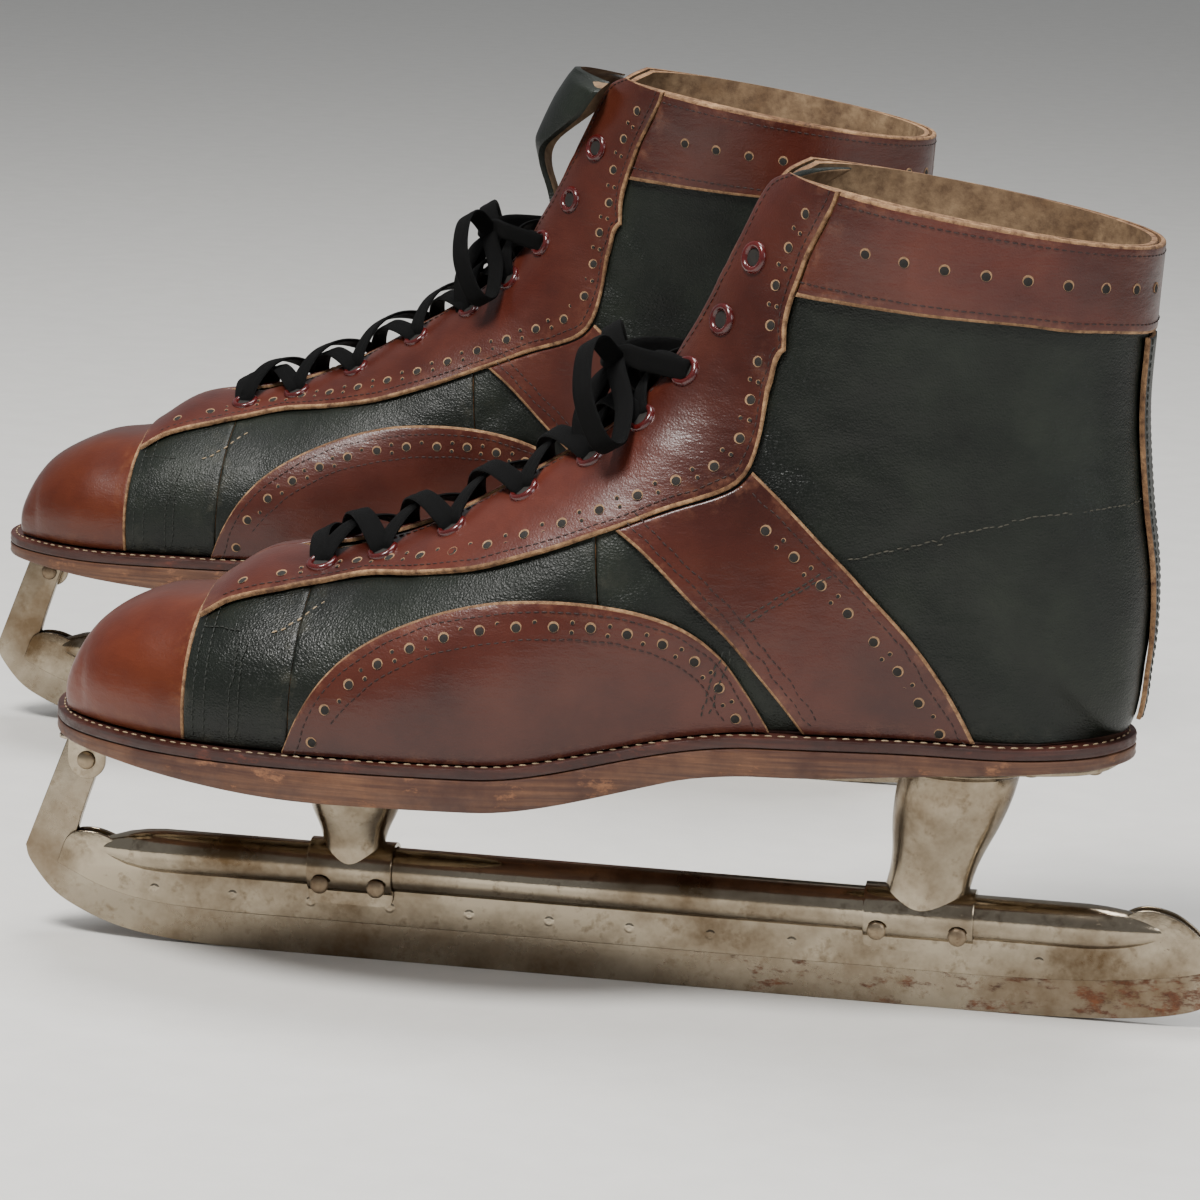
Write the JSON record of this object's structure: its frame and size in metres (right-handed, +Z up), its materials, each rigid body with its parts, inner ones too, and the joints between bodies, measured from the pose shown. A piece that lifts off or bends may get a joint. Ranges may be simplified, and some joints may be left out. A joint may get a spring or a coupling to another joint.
{
  "type": "ice skates",
  "caption": "Pair of lace-up leather hockey-style ice skates with riveted tubular steel runners, standing on their blades.",
  "frame": {"origin": "bottom centre of the pair's bounding box, on the ice plane under the two blades", "axes": "+X from the toes to the heels, +Y from the left skate to the right skate, +Z up"},
  "size_m": [0.42, 0.3456, 0.2307],
  "materials": {
    "cap_leather": "polished orange-brown toe leather",
    "brown_leather": "glossy red-brown leather with punched holes",
    "dark_leather": "grained greenish-black leather",
    "sole_leather": "worn tan sole edge",
    "welt_leather": "dark stained welt with light stitches",
    "lining_leather": "raw natural lining",
    "lace_cloth": "black flat woven lace",
    "blade_steel": "aged steel with rust freckles",
    "nickel": "aged warm nickel plate with tarnish",
    "rivet_steel": "tarnished rivet heads"
  },
  "bodies": {
    "left_skate": {"left_toe_cap": "cap_leather", "left_vamp": "dark_leather", "left_quarter_outer": "dark_leather", "left_quarter_inner": "dark_leather", "left_facing_outer": "brown_leather", "left_facing_inner": "brown_leather", "left_wing_panel_outer": "brown_leather", "left_wing_panel_inner": "brown_leather", "left_ankle_strap_outer": "brown_leather", "left_ankle_strap_inner": "brown_leather", "left_collar_band": "brown_leather", "left_back_stay": "dark_leather", "left_tongue_lower": "dark_leather", "left_lace": "lace_cloth", "left_insole": "lining_leather", "left_midsole": "welt_leather", "left_outsole": "sole_leather", "left_blade": "blade_steel", "left_tube": "nickel", "left_front_post": "nickel", "left_rear_post": "nickel", "left_toe_plate": "nickel", "left_heel_plate": "nickel", "left_toe_bracket": "nickel", "left_toe_bracket_rivet": "rivet_steel", "left_front_post_rivet_fore": "rivet_steel", "left_front_post_rivet_aft": "rivet_steel", "left_rear_post_rivet_fore": "rivet_steel", "left_rear_post_rivet_aft": "rivet_steel"},
    "right_skate": {"right_toe_cap": "cap_leather", "right_vamp": "dark_leather", "right_quarter_outer": "dark_leather", "right_quarter_inner": "dark_leather", "right_facing_outer": "brown_leather", "right_facing_inner": "brown_leather", "right_wing_panel_outer": "brown_leather", "right_wing_panel_inner": "brown_leather", "right_ankle_strap_outer": "brown_leather", "right_ankle_strap_inner": "brown_leather", "right_collar_band": "brown_leather", "right_back_stay": "dark_leather", "right_tongue_lower": "dark_leather", "right_lace": "lace_cloth", "right_insole": "lining_leather", "right_midsole": "welt_leather", "right_outsole": "sole_leather", "right_blade": "blade_steel", "right_tube": "nickel", "right_front_post": "nickel", "right_rear_post": "nickel", "right_toe_plate": "nickel", "right_heel_plate": "nickel", "right_toe_bracket": "nickel", "right_toe_bracket_rivet": "rivet_steel", "right_front_post_rivet_fore": "rivet_steel", "right_front_post_rivet_aft": "rivet_steel", "right_rear_post_rivet_fore": "rivet_steel", "right_rear_post_rivet_aft": "rivet_steel"},
    "left_tongue": {"left_tongue_upper": "dark_leather"},
    "right_tongue": {"right_tongue_upper": "dark_leather"}
  },
  "joints": [
    {"name": "right_skate_lift", "type": "slide", "parent": "left_skate", "child": "right_skate", "axis": [0, 0, 1], "range_m": [0, 0.25]},
    {"name": "left_tongue_flex", "type": "hinge", "parent": "left_skate", "child": "left_tongue", "pos_m": [0.06145, -0.12, 0.17515], "axis": [0, 1, 0], "range_deg": [0, 18], "stiffness_Nm_per_rad": 0.1},
    {"name": "right_tongue_flex", "type": "hinge", "parent": "right_skate", "child": "right_tongue", "pos_m": [-0.02455, 0.12, 0.17515], "axis": [0, 1, 0], "range_deg": [-28, 3], "stiffness_Nm_per_rad": 0.1}
  ]
}
